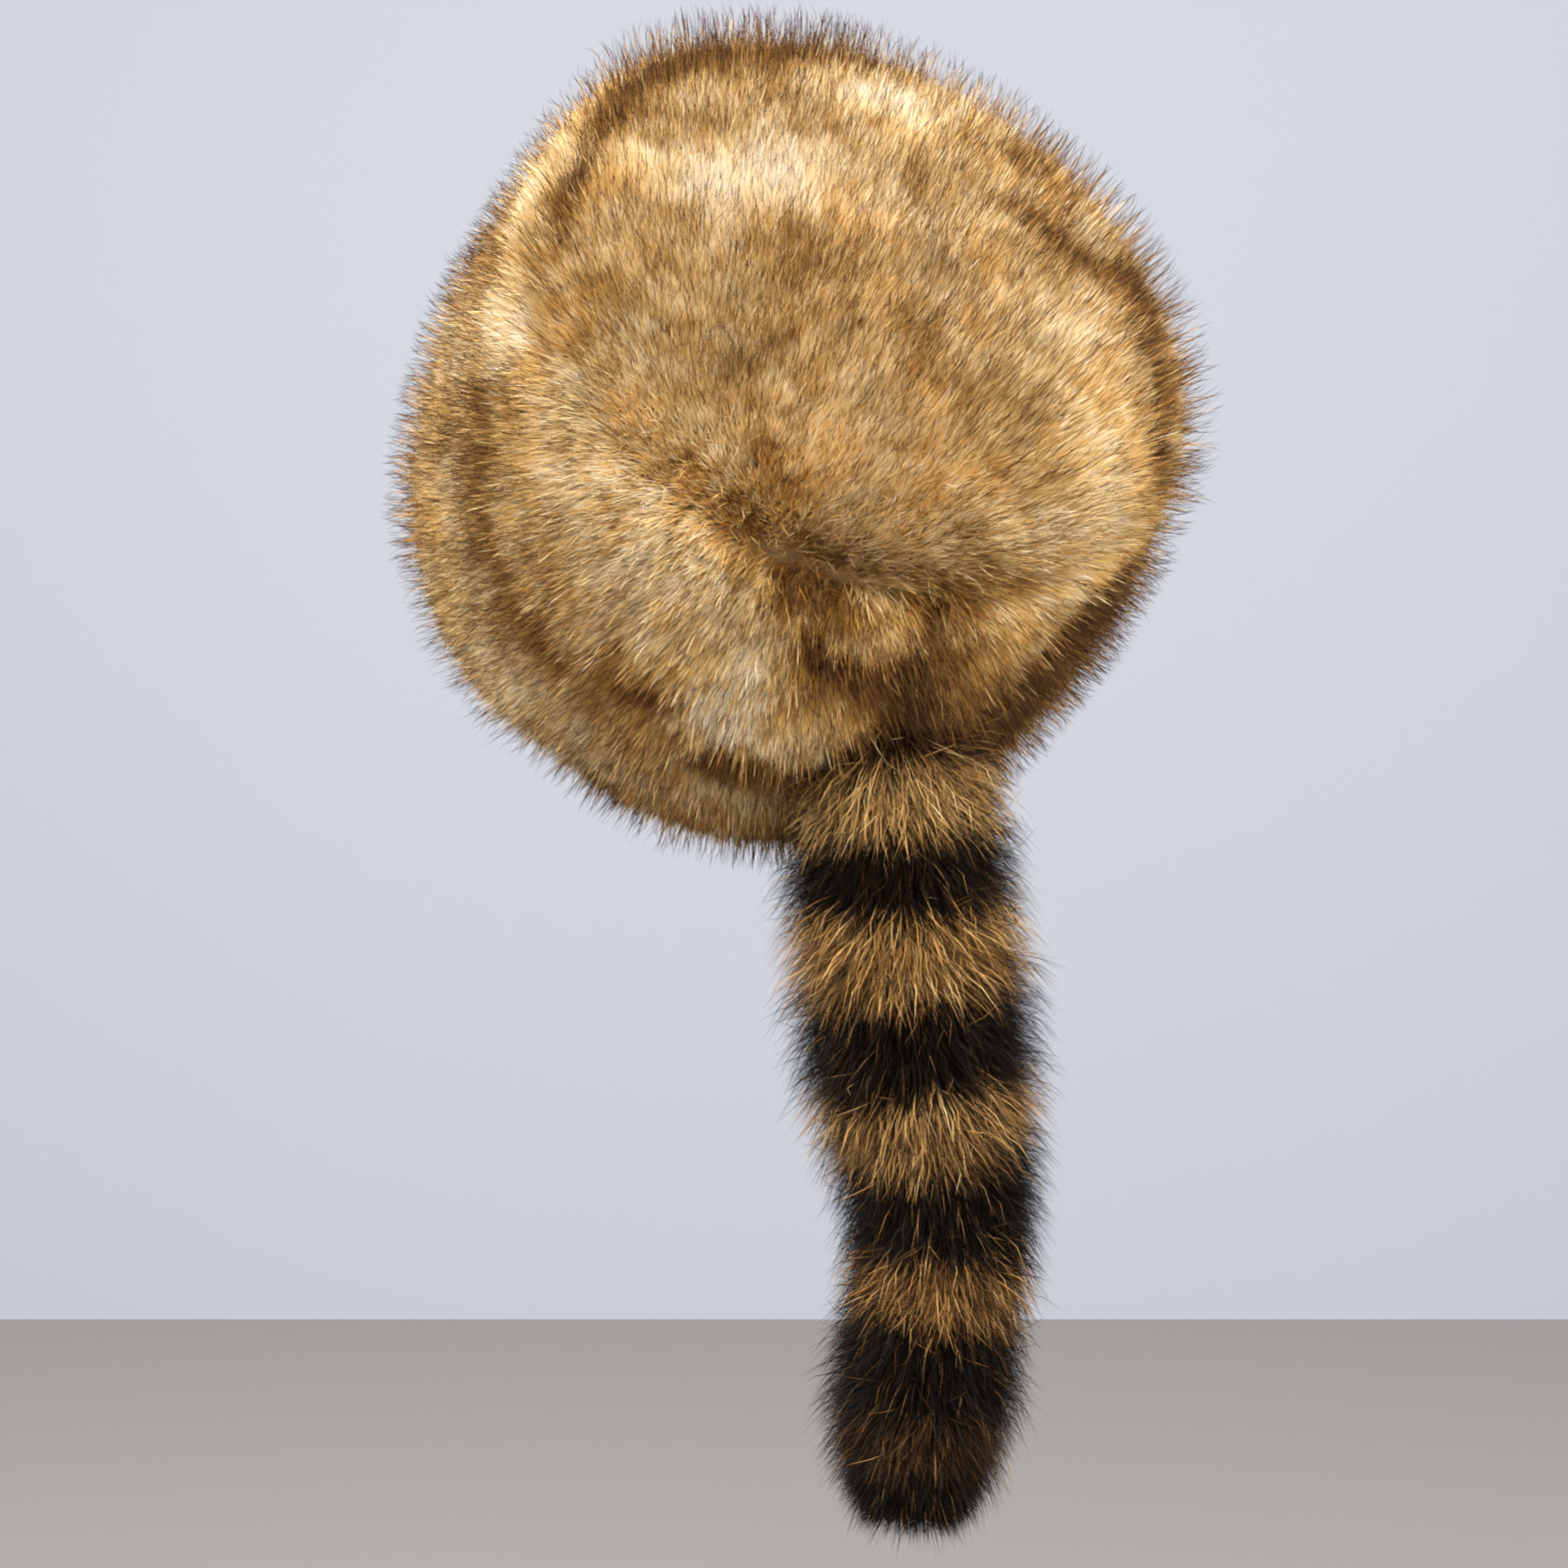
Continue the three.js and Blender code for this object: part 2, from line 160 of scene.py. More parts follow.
# %% Floor and wall
WALL_DISTANCE = 2.6
HORIZON_DIP = math.radians(11.1)
STAGE_HALF_WIDTH = 6.0
WALL_HEIGHT = 7.0
FLOOR_REACH = 6.0
floor_level = camera.location.z - (CAMERA_DISTANCE + WALL_DISTANCE) * math.tan(HORIZON_DIP)


def stage_sheet(name, size, matrix, hex_colour):
    """A flat plain sheet that belongs to the studio."""
    sheet = bmesh.new()
    bmesh.ops.create_grid(sheet, x_segments=1, y_segments=1, size=1.0)
    bmesh.ops.scale(sheet, verts=sheet.verts, vec=(size[0], size[1], 1))
    bmesh.ops.transform(sheet, matrix=matrix, verts=sheet.verts)
    mesh = bpy.data.meshes.new(name)
    sheet.to_mesh(mesh)
    sheet.free()
    paint, shader = new_material(name + " paint")
    shader.inputs["Base Color"].default_value = linear(hex_colour)
    shader.inputs["Roughness"].default_value = 0.9
    mesh.materials.append(paint)
    piece = bpy.data.objects.new(name, mesh)
    bpy.context.scene.collection.objects.link(piece)


facing_camera = Matrix.Rotation(PHOTO_AZIMUTH, 4, "Z")
floor_place = Matrix.Translation((0, WALL_DISTANCE - FLOOR_REACH, floor_level))
wall_place = Matrix.Translation((0, WALL_DISTANCE, floor_level + WALL_HEIGHT / 2)) @ Matrix.Rotation(
    math.radians(90), 4, "X",
)
stage_sheet("floor", (STAGE_HALF_WIDTH, FLOOR_REACH), facing_camera @ floor_place, "#989694")
stage_sheet("wall", (STAGE_HALF_WIDTH, WALL_HEIGHT / 2), facing_camera @ wall_place, "#b9c0ce")

# %% [markdown]
# Three large soft lights, as the camera sees them: the main one high on the left, a weaker one level on the
# right, and a faint one high behind the cap that edges the fur. A pale world fills the shadows.

# %% Lights
LAMP_COLOUR = "#fff4e6"


def soft_light(name, azimuth, elevation, distance, size, power):
    """A square area light that looks at the cap."""
    data = bpy.data.lights.new(name, "AREA")
    data.shape = "SQUARE"
    data.size = size
    data.energy = power
    light = bpy.data.objects.new(name, data)
    bpy.context.scene.collection.objects.link(light)
    turn, rise = math.radians(azimuth), math.radians(elevation)
    way = Vector((math.sin(turn) * math.cos(rise), -math.cos(turn) * math.cos(rise), math.sin(rise)))
    light.location = LOOK_AT + way * distance
    light.rotation_euler = (-way).to_track_quat("-Z", "Y").to_euler()
    data.color = linear(LAMP_COLOUR)[:3]


soft_light("main light", azimuth=-50, elevation=52, distance=2.2, size=1.8, power=112)
soft_light("fill light", azimuth=8, elevation=2, distance=2.4, size=1.8, power=56)
soft_light("back light", azimuth=170, elevation=55, distance=2.2, size=1.4, power=14)
world = bpy.data.worlds.new("studio")
bpy.context.scene.world = world
world.use_nodes = True
world.node_tree.nodes["Background"].inputs["Color"].default_value = linear("#e9e9ec")
world.node_tree.nodes["Background"].inputs["Strength"].default_value = 1.0
bpy.context.scene.view_settings.view_transform = "Standard"

# %% [markdown]
# Fur grows out of skin, so the strands need the outside of the hide: where it is and which way it faces. The
# two hide walls are copied into one mesh, their facets are welded, and the faces that look inward or along
# the wall's edges are deleted. What is left is the pelt's hair side, in the same place as the real walls.

# %% The hair side of the pelt
WELD = 0.8 * MM
# a face is on the hair side when its normal points up, or away from the axis, by more than this
CROWN_OUTWARD = 0.25
BAND_OUTWARD = 0.5
hide_nodes = ["band_hide", "crown_hide"]
pelt = bmesh.new()
is_crown = pelt.faces.layers.int.new("is_crown")
for kind, node in enumerate(hide_nodes):
    first = len(pelt.faces)
    pelt.from_mesh(bpy.data.objects[node].data)
    pelt.faces.ensure_lookup_table()
    for face in pelt.faces[first:]:
        face[is_crown] = kind
bmesh.ops.transform(pelt, matrix=Matrix.Rotation(-lean_angle, 4, "X"), verts=pelt.verts)
pelt.normal_update()
cap_middle = Vector((0, 0, 0.5 * max(v.co.z for v in pelt.verts)))
inward = []
for face in pelt.faces:
    out = face.calc_center_median() - cap_middle
    if face[is_crown]:
        keep = face.normal.z > CROWN_OUTWARD
    else:
        out.z = 0
        keep = face.normal.dot(out.normalized()) > BAND_OUTWARD
    if not keep:
        inward.append(face)
bmesh.ops.delete(pelt, geom=inward, context="FACES")
bmesh.ops.remove_doubles(pelt, verts=pelt.verts, dist=WELD)
pelt.normal_update()
pelt_height = max(v.co.z for v in pelt.verts)
seam_verts = [v for v in pelt.verts if len({f[is_crown] for f in v.link_faces}) == 2]
seam_height = sum(v.co.z for v in seam_verts) / len(seam_verts)
print("pelt faces", len(pelt.faces), "height", round(pelt_height, 4), "seam at", round(seam_height, 4))


# %% Corners, normals and areas as arrays
def face_arrays(crown):
    """Corner places, corner normals and areas of the pelt's triangles, for the crown or for the band."""
    faces = [f for f in pelt.faces if f[is_crown] == crown]
    corners = np.array([[v.co for v in f.verts[:3]] for f in faces])
    normals = np.array([[v.normal for v in f.verts[:3]] for f in faces])
    areas = np.array([f.calc_area() for f in faces])
    return corners, normals, areas


bmesh.ops.triangulate(pelt, faces=pelt.faces)
PELT = {"band": face_arrays(0), "crown": face_arrays(1)}
for name, (corners, normals, areas) in PELT.items():
    print(name, "pelt", round(float(areas.sum()) * 1e4), "square centimetres")


# %% Even random roots
def unit(vectors):
    """Vectors of an array at length one."""
    return vectors / np.maximum(np.linalg.norm(vectors, axis=-1, keepdims=True), 1e-9)


def scatter_roots(name, count, rng):
    """Even random places on the pelt, and the way the skin faces there."""
    corners, normals, areas = PELT[name]
    pick = rng.choice(len(areas), count, p=areas / areas.sum())
    u, v = rng.random((2, count))
    fold = u + v > 1
    u[fold], v[fold] = 1 - u[fold], 1 - v[fold]
    weights = np.stack([1 - u - v, u, v], axis=1)[:, :, None]
    place = (corners[pick] * weights).sum(axis=1)
    facing = unit((normals[pick] * weights).sum(axis=1))
    return place, facing


# %% [markdown]
# Fur has a lie. Crown and band are sewn so that the hair runs away from the seam on both sides: up over the
# crown, and down and outward over the band, with both fans opening from the gather at the back. Each fan
# starts a little beyond the seam, so that the hair parts there and doesn't form a star. Slow noise turns it
# here and there, so that the streaks wander as on a real pelt.

# %% The lie of the fur
GATHER = np.array([-36, -126, 141]) * MM
FAN_START = {"crown": GATHER + np.array([0, 8, -48]) * MM, "band": GATHER + np.array([0, 10, 14]) * MM}
# how strongly the hair of each pelt turns down towards the rim
FALL = {"crown": 0.0, "band": 0.15}
WANDER_ANGLE = math.radians(26)
WANDER_SIZE = 30 * MM
WANDER_OFFSET = 5.0


def slow_noise(points, size, offset):
    """Smooth noise from -1 to 1 whose patches are about the given size across."""
    return np.array([noise.noise(Vector(p) / size + Vector((offset, 0, 0))) for p in points])


def flat_on(vectors, normals):
    """The part of each vector that lies flat on the skin."""
    return vectors - normals * (vectors * normals).sum(axis=1, keepdims=True)


def lie_of_fur(name, place, facing):
    """The combed direction at each root."""
    away = unit(place - FAN_START[name])
    combed = unit(flat_on(away + np.array([0, 0, -FALL[name]]), facing))
    across = np.cross(combed, facing)
    turn = WANDER_ANGLE * slow_noise(place, WANDER_SIZE, WANDER_OFFSET)[:, None]
    return unit(combed * np.cos(turn) + across * np.sin(turn))


# %% [markdown]
# The fur isn't equally deep. It sinks into the seam, into the puckered gather and into the folds below it,
# where the pelt was drawn together by the thread, and it is thinner down the left side. Each row is a line on
# the fur's surface in the cap's own frame, how near to it the hollow reaches, both in millimetres, and the
# share of the fur's height that is lost on the line.

# %% Hollows in the fur
HOLLOWS = [
    # the seam left of the gather, the gather, and the two folds below it
    {
        "line": [(-44, -122, 146), (-56, -114, 151), (-90, -85, 160), (-114, -45, 168)],
        "near": 12, "loss": 0.34,
    },
    {"line": [(-47, -119, 150), (-41, -126, 136)], "near": 10, "loss": 0.6},
    {
        "line": [(-4, -127, 151), (1, -131, 137), (3, -134, 125), (1, -136, 107), (-2, -136, 92)],
        "near": 7, "loss": 0.7,
    },
    {"line": [(-54, -118, 143), (-45, -126, 126), (-31, -132, 110)], "near": 8, "loss": 0.36},
    # the seam right of the gather, and its far end at the top left
    {
        "line": [(-36, -127, 143), (-20, -125, 151), (20, -124, 158), (60, -108, 165)],
        "near": 8, "loss": 0.2,
    },
    {"line": [(-88, 70, 178), (-105, 50, 176), (-116, 26, 172)], "near": 8, "loss": 0.36},
    # thinner fur down the left side, at the lower left and at the top left, and a dip right of the folds
    {"line": [(-112, 70, 145), (-132, 28, 115), (-135, 8, 78), (-130, -20, 45)], "near": 40, "loss": 0.27},
    {"line": [(-126, -36, 36), (-114, -62, 28), (-95, -81, 6)], "near": 26, "loss": 0.24},
    {"line": [(-96, 88, 160), (-76, 94, 172)], "near": 14, "loss": 0.2},
    {"line": [(74, -112, 120), (64, -120, 101), (65, -118, 75)], "near": 18, "loss": 0.3},
]


def distance_to_line(points, line):
    """How far each point is, in metres, from a line of straight stretches between places in millimetres."""
    best = np.full(len(points), np.inf)
    # the first place comes twice, so a line of one place works too
    for start, end in zip(line[:1] + line, line):
        start, end = np.array(start) * MM, np.array(end) * MM
        along = end - start
        share = np.clip(((points - start) @ along) / max(along @ along, 1e-12), 0, 1)
        gap = np.linalg.norm(points - start - share[:, None] * along, axis=1)
        best = np.minimum(best, gap)
    return best


def fur_height(surface):
    """The share of its full height that the fur has at each place of the fur's surface."""
    height = np.ones(len(surface))
    for hollow in HOLLOWS:
        gap = distance_to_line(surface, hollow["line"])
        height *= 1 - hollow["loss"] * np.exp(-(gap / (hollow["near"] * MM)) ** 2)
    return height


# %% [markdown]
# One strand is a thin blade: a grid one face wide and one or two faces long, its last row closed to a point.
# Real hair is round, but a flat blade catches the light in much the same way with far fewer faces. Each blade
# is made once, and each strand takes its corners from it.


# %% One blade
def blade(steps, lift=1.0):
    """Corner columns (-1 to 1), corner heights (0 to 1) and faces of a blade of a few steps. A lift below 1
    moves the inner rows towards the tip."""
    bm = bmesh.new()
    bmesh.ops.create_grid(bm, x_segments=1, y_segments=steps, size=1.0)
    bmesh.ops.translate(bm, verts=bm.verts, vec=(0, 1, 0))
    bmesh.ops.scale(bm, verts=bm.verts, vec=(1, 0.5, 1))
    tip = [v for v in bm.verts if v.co.y > 1 - 1e-4]
    bmesh.ops.pointmerge(bm, verts=tip, merge_co=(0, 1, 0))
    bm.verts.ensure_lookup_table()
    bm.verts.index_update()
    columns = np.array([v.co.x for v in bm.verts])
    heights = np.array([v.co.y for v in bm.verts]).clip(0, 1) ** lift
    faces = [[v.index for v in f.verts] for f in bm.faces]
    bm.free()
    return columns, heights, faces


BENT_BLADE = blade(2, 0.75)
SPIKE = blade(1)
print("a bent blade has", len(BENT_BLADE[0]), "corners and a spike", len(SPIKE[0]))

# %% [markdown]
# A strand leaves the skin steeply and bends over into the lie, and its neighbours draw together into a small
# tuft at the tip. Only its outer part can be seen, so away from the rim it starts part-way up, which keeps
# the render quick. Each array below holds one value for each strand. The UV map says how light the strand is
# and how far along it a corner lies, so a colour can follow each hair from root to tip. Its rows are kinds
# of hair, and each strand is a narrow strip of its row.

# %% Strands from arrays
GOLDEN, ORANGE, GREY, DARK_TIPPED = range(4)
KINDS = 4
# half the width of a strand's strip in the UV map, and the margins that keep strips in their row and map
STRIP = 0.0022
ROW_MARGIN = 0.02
MAP_MARGIN = 0.001
# how far a strand waves from side to side, in millimetres, and how many radians of a wave it has
CURL = 0.5
WAVE_RADIANS = 3.0
# powers that make a strand rise early and bend over late, and the share of its width lost by the tip
RISE_POWER = 1.7
RUN_POWER = 1.25
TAPER = 0.35


def strand_corners(columns, heights, roots, facing, combed, tuft, look):
    """Where each corner of each strand lies. tuft is how far each root stands from its tuft's middle."""
    start = look["start"][:, None, None]
    t = start + (1 - start) * heights[None, :, None]
    rise = look["rise"][:, None, None] * (1 - (1 - t) ** RISE_POWER)
    run = look["run"][:, None, None] * t ** RUN_POWER
    spread = tuft[:, None, :] * (1 - look["gather"][:, None, None] * t)
    path = roots[:, None, :] + spread + facing[:, None, :] * rise + combed[:, None, :] * run
    side = unit(np.cross(combed, facing))
    twist = look["twist"][:, None]
    side = unit(side * np.cos(twist) + facing * np.sin(twist))
    wave = np.sin(t * WAVE_RADIANS + look["phase"][:, None, None]) - np.sin(look["phase"])[:, None, None]
    path = path + side[:, None, :] * wave * CURL * MM
    half = look["width"][:, None, None] * 0.5 * (1 - TAPER * t)
    return path + side[:, None, :] * columns[None, :, None] * half


# %% Meshes and pieces
def strand_mesh(name, shape, roots, facing, combed, tuft, look):
    """A mesh of blades, one for each root. look holds each strand's sizes, shade and kind of hair."""
    columns, heights, faces = shape
    count = len(roots)
    points = strand_corners(columns, heights, roots, facing, combed, tuft, look)
    corner_order = np.concatenate([np.array(f) for f in faces])
    sizes = np.array([len(f) for f in faces])
    per_strand = len(columns)
    loops = (corner_order[None, :] + per_strand * np.arange(count)[:, None]).ravel()
    starts = np.concatenate([[0], np.cumsum(np.tile(sizes, count))[:-1]])
    mesh = bpy.data.meshes.new(name)
    mesh.vertices.add(count * per_strand)
    mesh.vertices.foreach_set("co", points.reshape(-1).astype(np.float32))
    mesh.loops.add(len(loops))
    mesh.loops.foreach_set("vertex_index", loops.astype(np.int32))
    mesh.polygons.add(count * len(sizes))
    mesh.polygons.foreach_set("loop_start", starts.astype(np.int32))
    mesh.polygons.foreach_set("use_smooth", np.ones(count * len(sizes), dtype=bool))
    shade = look["shade"][:, None] + STRIP * columns[None, :]
    height = (look["kind"][:, None] + ROW_MARGIN + (1 - 2 * ROW_MARGIN) * heights[None, :]) / KINDS
    uv = np.stack([np.broadcast_to(shade, height.shape), height], axis=2)[:, corner_order, :]
    layer = mesh.uv_layers.new(name="OFBake")
    uv = np.clip(uv, MAP_MARGIN, 1 - MAP_MARGIN)
    layer.uv.foreach_set("vector", uv.reshape(-1).astype(np.float32))
    mesh.update(calc_edges=True)
    print(name, count, "strands", int(count * (sizes - 2).sum()), "triangles")
    return mesh


def finish_piece(name, mesh, material, nodes):
    """Puts a mesh in the scene as a piece that stands for the named nodes."""
    piece = bpy.data.objects.new(name, mesh)
    bpy.context.scene.collection.objects.link(piece)
    mesh.materials.append(material)
    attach(piece, "root")
    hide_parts(*nodes)
    return piece


# %% [markdown]
# Raccoon hair is banded: grey-brown wool at the root, then a long golden or cream stretch, and on the guard
# hairs a dark brown tip. The dark root also stands for painted shade deep in the coat. The material follows
# the strand with the UV map. Its first coordinate picks how light the hair is, and the row picks the kind:
# golden, orange, grey-brown or dark tipped. One hair is glossy, but a coat of hairs that lie every way
# scatters its shine. So the gloss is low, and the cap's coat is rougher than the tail's smoother black one.

# %% Fur material
TINTS = ((ORANGE, "#fdeac0"), (GREY, "#e8e6e0"))
HAIR_IOR = 1.55
HAIR_GLOSS = 0.08
# shares of a strand: where the root's wool colour and painted shade have gone, and where a dark tip starts
# and is full
ROOT_GONE = 0.6
TIP_STARTS = 0.45
TIP_FULL = 0.64


def fur_material(name, shades, root_wool_and_shade, tip_colour, rough):
    """Banded hair: shades is a list of (lightness, hex colour) from dark hair to light hair."""
    material, shader = new_material(name)
    uv = add_node(material, "ShaderNodeUVMap", uv_map="OFBake")
    parts = add_node(material, "ShaderNodeSeparateXYZ", {"Vector": uv.outputs["UV"]})
    rows = add_node(material, "ShaderNodeMath", {0: parts.outputs["Y"], 1: KINDS}, operation="MULTIPLY")
    kind = add_node(material, "ShaderNodeMath", {0: rows.outputs[0]}, operation="FLOOR")
    along = add_node(material, "ShaderNodeMath", {0: rows.outputs[0]}, operation="FRACT")
    hair = ramp(material, parts.outputs["X"], shades).outputs["Color"]
    for number, tint in TINTS:
        chosen = add_node(
            material, "ShaderNodeMath", {0: kind.outputs[0], 1: number, 2: 0.1}, operation="COMPARE",
        )
        tinted = add_node(
            material, "ShaderNodeMix", {"Factor": chosen.outputs[0], "A": hair, "B": linear(tint)},
            data_type="RGBA", blend_type="MULTIPLY",
        )
        hair = tinted.outputs["Result"]
    # the dark root: the wool's own colour, with painted shade deep in the coat
    rooted = add_node(
        material, "ShaderNodeMapRange", {"Value": along.outputs[0], "From Max": ROOT_GONE},
        interpolation_type="SMOOTHSTEP",
    )
    body = add_node(
        material, "ShaderNodeMix", {"Factor": rooted.outputs[0], "A": linear(root_wool_and_shade), "B": hair},
        data_type="RGBA",
    )
    tipped = add_node(
        material, "ShaderNodeMapRange",
        {"Value": along.outputs[0], "From Min": TIP_STARTS, "From Max": TIP_FULL},
        interpolation_type="SMOOTHSTEP",
    )
    dark_kind = add_node(
        material, "ShaderNodeMath", {0: kind.outputs[0], 1: DARK_TIPPED - 0.5}, operation="GREATER_THAN",
    )
    dark = add_node(
        material, "ShaderNodeMath", {0: tipped.outputs[0], 1: dark_kind.outputs[0]}, operation="MULTIPLY",
    )
    colour = add_node(
        material, "ShaderNodeMix",
        {"Factor": dark.outputs[0], "A": body.outputs["Result"], "B": linear(tip_colour)},
        data_type="RGBA",
    )
    material.node_tree.links.new(colour.outputs["Result"], shader.inputs["Base Color"])
    shader.inputs["Roughness"].default_value = rough
    shader.inputs["IOR"].default_value = HAIR_IOR
    shader.inputs["Specular IOR Level"].default_value = HAIR_GLOSS
    return material


CAP_SHADES = [
    (0.0, "#22130a"), (0.2, "#693f18"), (0.4, "#a97f43"),
    (0.6, "#dabc81"), (0.8, "#f5e4bb"), (1.0, "#fdf4e4"),
]
cap_fur = fur_material(
    "raccoon guard hair", CAP_SHADES, root_wool_and_shade="#96723f", tip_colour="#3a2210", rough=0.62,
)

# %% [markdown]
# The pelt isn't one colour. Patches follow the photo: cream high on the crown, partly a painted highlight
# where its top faces the main light, brown streaks on the left of the band, orange along the seam, dark brown
# at the right-hand edge, and painted shade that darkens the hair in the seam, the gather and the folds. Each
# patch is a line on the fur's surface in the cap's own frame, how near to it the patch reaches, both in
# millimetres, how much it lightens or darkens the hair, and the kind of hair that it turns a share of the
# tufts to.

